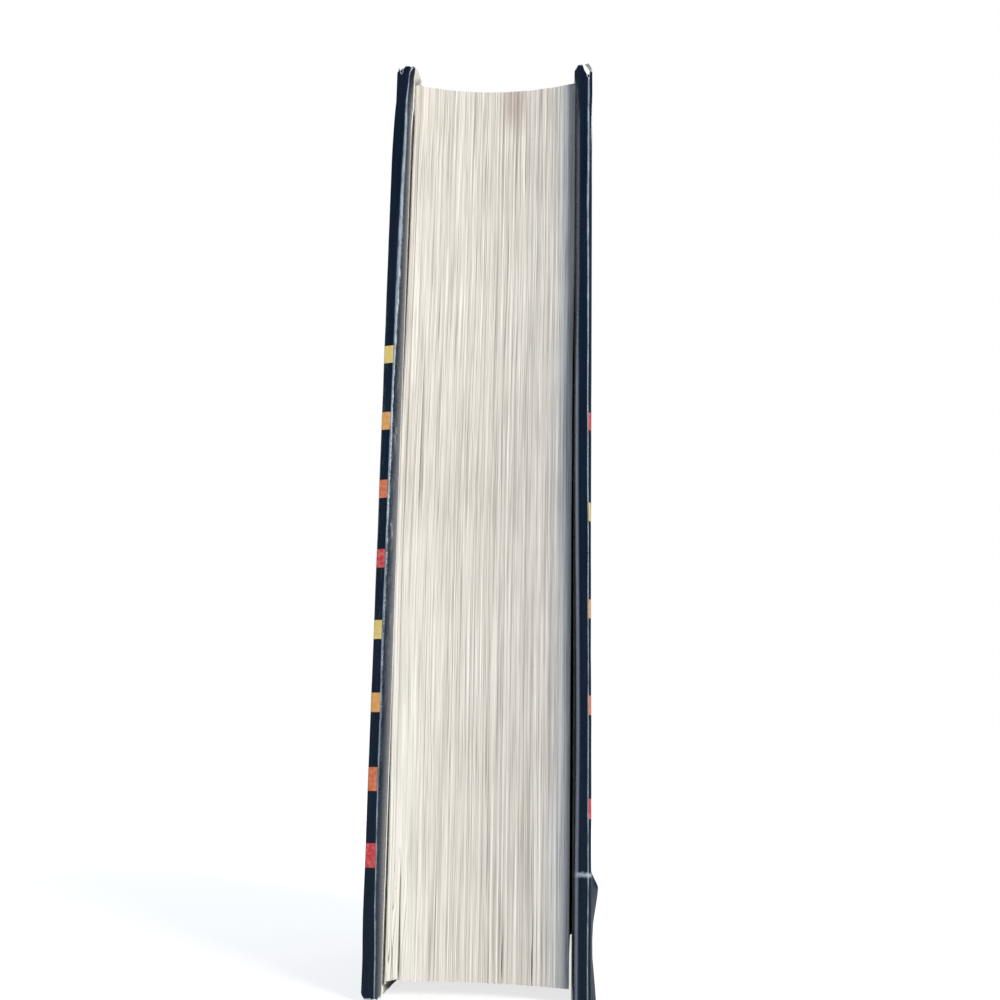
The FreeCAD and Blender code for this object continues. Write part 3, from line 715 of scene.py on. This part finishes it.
def back_half_path(z):
    """The back half: a tight fold, its flap curling in at the head, and a bulge near the tail."""
    bead_in = 22.85 + 0.66 * ease(z, 140.0, 60.0) - 0.2 * ease(z, 60.0, 25.0) + 0.36 * ease(z, 150.0, 180.0)
    crease = 26.02 + 0.45 * ease(z, 190.0, 50.0) + 0.12 * ripples(0, z, 1, 34.0)
    soft = 0.5 + 0.2 * np.minimum(ripples(0, z, 1, 40.0) ** 2, 1.0)
    outer = 26.74 + 0.48 * ease(z, 150.0, 40.0) - 0.12 * hump(z, 214.0, 12.0) \
        + 0.25 * ease(z, 224.0, 234.0)
    over_leaves = ease(z, 238.3, 240.6)
    close = 0.16 * ease(z, 162.0, 188.0)
    stand = np.interp(z, (0.3, 4.0, 10.0, 14.0, 18.0, 23.5, 26.4, 28.6, 30.2, 34.0),
                      (1.8, 1.5, 0.9, 0.8, 1.0, 2.0, 2.38, 1.1, 0.3, 0.2))
    stand = np.maximum(stand, 0.2 * ease(z, 150.0, 40.0))
    corners = [
        (FLAP_IN, FLAP_END), (FLAP_IN, -52.0), (FLAP_IN - 0.45 * over_leaves, -73.5),
        (FLAP_IN - 0.35 * over_leaves - close + stand_off(BACK, -76.5, z), -76.5),
        (FLAP_IN - close - 0.6 * ease(z, 235.0, 240.0) + stand_off(BACK, -80.6, z), -80.6),
        (bead_in, -83.35), (crease, CREASE_TIP + 0.02), (outer, JACKET_FORE + 0.3),
        (26.84 + stand, -76.1), (PANEL, -59.6), (PANEL - 0.1, 20.0), (PANEL, 66.0),
        (PANEL, SEAM_Y),
    ]
    return corners, (8.0, 4.0, 1.4, 1.2, 0.75, soft, 0.4, 2.0, 5.0, 10.0, 2.0), \
        (14, 8, 4, 3, 5, 8, 4, 8, 10, 14, 10, 16)


BEND = 8


def jacket_half(name, side, node, path, bends_before, head_of, tail_of, paper):
    """One half of the jacket, from its flap's end to the seam beside the back.

    bends_before counts the bends between the flap's end and the crease.
    """
    z = JACKET_Z
    corners, reaches, runs = path(z)
    line = rounded_path(corners, reaches, runs, BEND, len(z))
    crease_at = sum(runs[:bends_before + 1]) + bends_before * BEND + BEND // 2
    bead_at = sum(runs[:bends_before]) + (bends_before - 1) * BEND + BEND // 2
    across = lengths_along(line)
    across = across - across[crease_at]
    turned = across - across[bead_at]
    up = np.broadcast_to(z, across.shape)
    # Where the fold's inner facet is painted a grey reflection, and how wide the crease's pale line runs.
    if side == FRONT:
        painted_reflection = np.interp(turned, (-0.35, -0.1, 0.0, 0.4, 0.9, 1.5, 2.2),
                            (0.0, 0.9, 1.0, 0.75, 0.42, 0.15, 0.0)) * ease(up, 241.0, 226.0)
        # How wide the crease's pale line runs: partly rubbed print, partly painted highlight.
        rub_and_highlight_width = (0.18 + 0.36 * hump(up, 202.0, 36.0)) * ease(up, 240.0, 228.0) + 0.02
    else:
        far = 0.15 + 0.3 * ease(up, 170.0, 150.0)
        painted_reflection = ease(turned, -0.4, -0.15) * ease(turned, far + 0.4, far) \
            * (0.55 + 0.45 * ease(up, 180.0, 150.0)) * ease(up, 232.0, 222.0)
        rub_and_highlight_width = 0.22 + 0.2 * hump(up, 205.0, 34.0)
    head = head_of(line[..., 0], line[..., 1], across)
    tail = tail_of(line[..., 0], line[..., 1], across)

    # Creases and waves in the loose paper, none at the seam.
    loose = ease(line[..., 1], 60.0, 20.0)
    wave = 0.07 * ripples(across, z[None, :], 45.0, 70.0) \
        + 0.03 * ripples(across, z[None, :], 9.0, 26.0)
    line = line.copy()
    line[..., 0] -= np.abs(wave) * loose * np.where(across > 0, 1.0, 0.0)

    height = stretch_ends(up, tail, head)
    outer = solid_points(line, height, side)
    inner = solid_points(beside(line, SHEET), height, side)
    rim = np.minimum(head - height, height - tail)
    half = new_sheet(name, outer, inner,
                     {"across": across, "turned": turned, "along": height, "rim": rim,
                      "painted_reflection": painted_reflection, "rub_and_highlight_width": rub_and_highlight_width},
                     [jacket_surface(side), paper])
    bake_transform(half)
    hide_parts(node)
    return half


def front_head(level, y, across):
    """The front half's upper edge, torn open over the fold's corner."""
    whole = JACKET_HEAD - 0.08 * (1 + np.sin(across * 0.9)) * ease(across, 60.0, 4.0)
    torn = np.interp(level, (21.6, 22.5, 23.5, 24.1, 24.4, 24.8, 25.05, 25.3, 25.7, 26.9),
                     (241.1, 241.0, 241.35, 241.2, 240.6, 239.2, 238.7, 239.6, 241.0, 240.6))
    return whole + (torn - whole) * ease(y, -80.8, -82.4)


def front_tail(level, y, across):
    """The front half's lower edge, rounded on both sides of the fold."""
    whole = JACKET_TAIL + 0.05 * (1 + np.sin(across * 0.6))
    rounded = 1.5 * ease(level, 25.5, 26.9) ** 2 + 1.2 * ease(level, 23.1, 21.8) ** 2
    return whole + rounded * ease(y, -80.5, -82.6)


def back_head(level, y, across):
    """The back half's upper edge, worn away on the outer side of the fold's corner."""
    whole = JACKET_HEAD - 0.06 * (1 + np.sin(across * 0.7)) * ease(across, 60.0, 4.0)
    torn = np.interp(level, (22.6, 24.3, 24.5, 24.9, 25.6, 26.05, 26.2, 26.35, 26.9),
                     (241.3, 241.2, 240.4, 239.2, 237.7, 236.5, 236.9, 239.2, 239.4))
    return whole + (torn - whole) * ease(y, -81.9, -82.9)


def back_tail(level, y, across):
    """The back half's lower edge, a little uneven."""
    return JACKET_TAIL + 0.06 * (1 + np.sin(across * 0.5)) \
        + 0.7 * ease(level, 23.6, 22.7) ** 2 * ease(y, -80.5, -82.6)


def torn_flake(paper):
    """A flake of the jacket's back panel that curls in over its worn corner."""
    s = np.linspace(0.0, 1.0, 12)[:, None]
    t = np.linspace(0.0, 1.0, 9)[None, :]
    low_base, high_base = np.array((26.9, -82.6, 238.6)), np.array((26.9, -81.5, 240.6))
    low_tip, high_tip = np.array((25.0, -84.1, 240.8)), np.array((25.9, -84.0, 241.2))
    base = low_base + (high_base - low_base) * t[..., None]
    tip = low_tip + (high_tip - low_tip) * t[..., None]
    patch = base + (tip - base) * s[..., None]
    patch[..., 0] += 0.25 * np.sin(s * math.pi) * (1 - 0.4 * t)
    patch[..., 2] += 0.1 * np.sin(s * 9.0) * (1 - t) * s
    patch[..., 2] = np.minimum(patch[..., 2], 241.3)
    under = patch + np.array((-0.09, 0.1, -0.03))
    turn = np.array((1.0, 1.0, 1.0))
    outer, inner = patch * turn, under * turn
    outer[..., 0], inner[..., 0] = MIDDLE_X + outer[..., 0], MIDDLE_X + inner[..., 0]
    flake = new_sheet("jacket_torn_flake", outer, inner, {}, [paper])
    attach(flake, "back_cover")


def jacket_spine(material, paper):
    """The jacket across the rounded back."""
    z = JACKET_Z
    turn = math.asin(PANEL / JACKET_BACK_R)
    arc = np.linspace(-turn, turn, 71)
    line = [(-PANEL, SEAM_Y)] + [(JACKET_BACK_R * math.sin(a),
                                  BACK_CENTRE_Y + JACKET_BACK_R * math.cos(a)) for a in arc] \
        + [(PANEL, SEAM_Y)]
    line = np.array(line)
    for _ in range(3):
        middle = (line[:-1] + line[1:]) / 2
        line = np.concatenate([line[:1], (middle[:-1] + middle[1:]) / 2, line[-1:]])
        line = np.insert(line, 1, (line[0] + line[1]) / 2, axis=0)
        line = np.insert(line, -1, (line[-1] + line[-2]) / 2, axis=0)
    line = np.repeat(line[:, None, :], len(z), axis=1)
    across = lengths_along(line) + 150.0
    inner = beside(line, -SHEET)
    height = np.broadcast_to(z, across.shape)
    rim = np.minimum(JACKET_HEAD - height, height - JACKET_TAIL)
    wrap = new_sheet("jacket_spine_wrap", solid_points(line, height, BACK),
                     solid_points(inner, height, BACK),
                     {"across": across, "turned": across, "along": height, "rim": rim,
                      "painted_reflection": 0 * across, "rub_and_highlight_width": 0 * across + 0.3},
                     [material, paper])
    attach(wrap, "book_block")
    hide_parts("jacket_spine")


# ---------------------------------------------------------------- the book

leaves = leaf_surface()
endpaper = paper_surface("endpaper", rgb(238, 234, 222), rgb(224, 216, 198))
jacket_paper = paper_surface("jacket_core", rgb(238, 238, 234), rgb(222, 222, 216))
# The flake's paper is a darker copy of the jacket's white core: painted shade for a flake that curls into shadow.
shaded_flake_paper = paper_surface("shaded_flake_paper", rgb(150, 150, 154), rgb(122, 122, 128))
cloth = cloth_surface()
grey_board = board_surface("grey_board", rgb(150, 144, 134), rgb(176, 170, 158))
lining_paper = board_surface("lining_paper", rgb(178, 150, 112), rgb(196, 172, 136))
gauze = mull_surface()
band = band_surface()

for node, material in (
        ("spine_board", grey_board), ("spine_lining", lining_paper), ("mull", gauze), ("head_band", band),
        ("tail_band", band), ("spine_case_cover", cloth)):
    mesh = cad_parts[node].data
    mesh.materials.clear()
    mesh.materials.append(material)

leaf_block(leaves)
for side, word in ((FRONT, "front"), (BACK, "back")):
    flyleaf(f"{word}_flyleaf_sheet", side, f"{word}_flyleaf", endpaper)
    pastedown(f"{word}_pastedown_sheet", side, f"{word}_pastedown", endpaper)
    cased_board(f"{word}_cased_board", side, f"{word}_cover",
                (f"{word}_case_cover", f"{word}_board"), cloth)
    cloth_hinge(f"{word}_cloth_hinge", side, cloth)
jacket_half("jacket_front_half", FRONT, "jacket_front", front_half_path, 5,
            front_head, front_tail, jacket_paper)
back_half = jacket_half("jacket_back_half", BACK, "jacket_back", back_half_path, 5,
                        back_head, back_tail, jacket_paper)
torn_flake(shaded_flake_paper)
jacket_spine(back_half.data.materials[0], jacket_paper)


# ---------------------------------------------------------------- stage, light and camera

def white_floor():
    """A plain white floor that keeps the book's shadow."""
    s = Surface("floor", roughness=0.9, gloss=0.1)
    place = s.node("TexCoord").outputs["Object"]
    mottle = s.noise(place, scale=3.0, detail=2.0)
    s.colour(s.mix(s.math("MULTIPLY", mottle, 0.1), rgb(190, 190, 190), rgb(182, 182, 182)))
    seen = s.node("LightPath").outputs["Is Camera Ray"]
    s.shader.inputs["Emission Color"].default_value = (1.0, 1.0, 1.0, 1.0)
    away = s.node("VectorMath", {0: place}, operation="LENGTH").outputs["Value"]
    level = s.math("MULTIPLY_ADD", s.step(away, 0.35, 1.6), 0.26, 0.76)
    s.put(s.shader.inputs["Emission Strength"], s.math("MULTIPLY", seen, level))
    mesh = bpy.data.meshes.new("floor")
    half = 12.0
    corners = [(-half, -half), (half, -half), (half, half), (-half, half)]
    mesh.from_pydata([(x, y, -0.0004) for x, y in corners], [], [(0, 1, 2, 3)])
    mesh.materials.append(s.material)
    floor = bpy.data.objects.new("floor", mesh)
    bpy.context.scene.collection.objects.link(floor)


def white_world():
    """Soft even light, which shows as plain white behind the book."""
    world = bpy.data.worlds.new("studio")
    bpy.context.scene.world = world
    world.use_nodes = True
    nodes, links = world.node_tree.nodes, world.node_tree.links
    light = nodes["Background"]
    path = nodes.new("ShaderNodeLightPath")
    seen = nodes.new("ShaderNodeMath")
    seen.operation = "MAXIMUM"
    links.new(path.outputs["Is Camera Ray"], seen.inputs[0])
    links.new(path.outputs["Is Transmission Ray"], seen.inputs[1])
    level = nodes.new("ShaderNodeMapRange")
    level.inputs["To Min"].default_value = 0.26
    level.inputs["To Max"].default_value = 1.0
    links.new(seen.outputs[0], level.inputs["Value"])
    dimmed = nodes.new("ShaderNodeMath")
    dimmed.operation = "MULTIPLY_ADD"
    links.new(path.outputs["Is Glossy Ray"], dimmed.inputs[0])
    dimmed.inputs[1].default_value = -0.12
    links.new(level.outputs["Result"], dimmed.inputs[2])
    links.new(dimmed.outputs[0], light.inputs["Strength"])
    tint = nodes.new("ShaderNodeMix")
    tint.data_type = "RGBA"
    links.new(seen.outputs[0], tint.inputs[0])
    tint.inputs[6].default_value = (0.6, 0.82, 1.1, 1.0)
    tint.inputs[7].default_value = (1.0, 1.0, 1.0, 1.0)
    links.new(tint.outputs[2], light.inputs["Color"])


def lamp(name, azimuth, elevation, distance, size, power, tint=(1.0, 1.0, 1.0)):
    """A soft square lamp aimed at the book. Azimuth runs from the fore-edge's front to +X."""
    aim = Vector((0.0, -0.05, 0.12))
    azimuth, elevation = math.radians(azimuth), math.radians(elevation)
    away = Vector((math.sin(azimuth) * math.cos(elevation), -math.cos(azimuth) * math.cos(elevation),
                   math.sin(elevation)))
    data = bpy.data.lights.new(name, "AREA")
    data.energy = power
    data.size = size
    data.color = tint
    item = bpy.data.objects.new(name, data)
    item.location = aim + away * distance
    item.rotation_euler = away.to_track_quat("Z", "Y").to_euler()
    bpy.context.scene.collection.objects.link(item)


def photo_camera():
    """The camera at the photograph's place: low, close, to the right, and looking up."""
    yaw, pitch, roll = (math.radians(a) for a in (-3.462, 12.437, 1.027))
    ahead = Vector((math.sin(yaw) * math.cos(pitch), math.cos(yaw) * math.cos(pitch),
                    math.sin(pitch)))
    level = Vector((math.cos(yaw), -math.sin(yaw), 0.0))
    above = level.cross(ahead)
    right = math.cos(roll) * level + math.sin(roll) * above
    up = -math.sin(roll) * level + math.cos(roll) * above
    data = bpy.data.cameras.new("photo_camera")
    data.lens = 47.66
    data.sensor_width = 36.0
    data.clip_start = 0.01
    item = bpy.data.objects.new("photo_camera", data)
    turned = Matrix((right, up, -ahead)).transposed().to_4x4()
    item.matrix_world = Matrix.Translation(Vector((0.02258, -0.409, 0.0483))) @ turned
    bpy.context.scene.collection.objects.link(item)
    bpy.context.scene.camera = item


white_floor()
white_world()
lamp("key", 34.0, 17.0, 2.6, 0.65, 67.0, (1.0, 0.978, 0.952))
lamp("fill", -72.0, 15.0, 2.0, 0.5, 4.0, (0.93, 0.97, 1.0))
lamp("back_soft", 180.0, 45.0, 2.0, 1.0, 10.0)
photo_camera()
bpy.context.scene.view_settings.view_transform = "Standard"
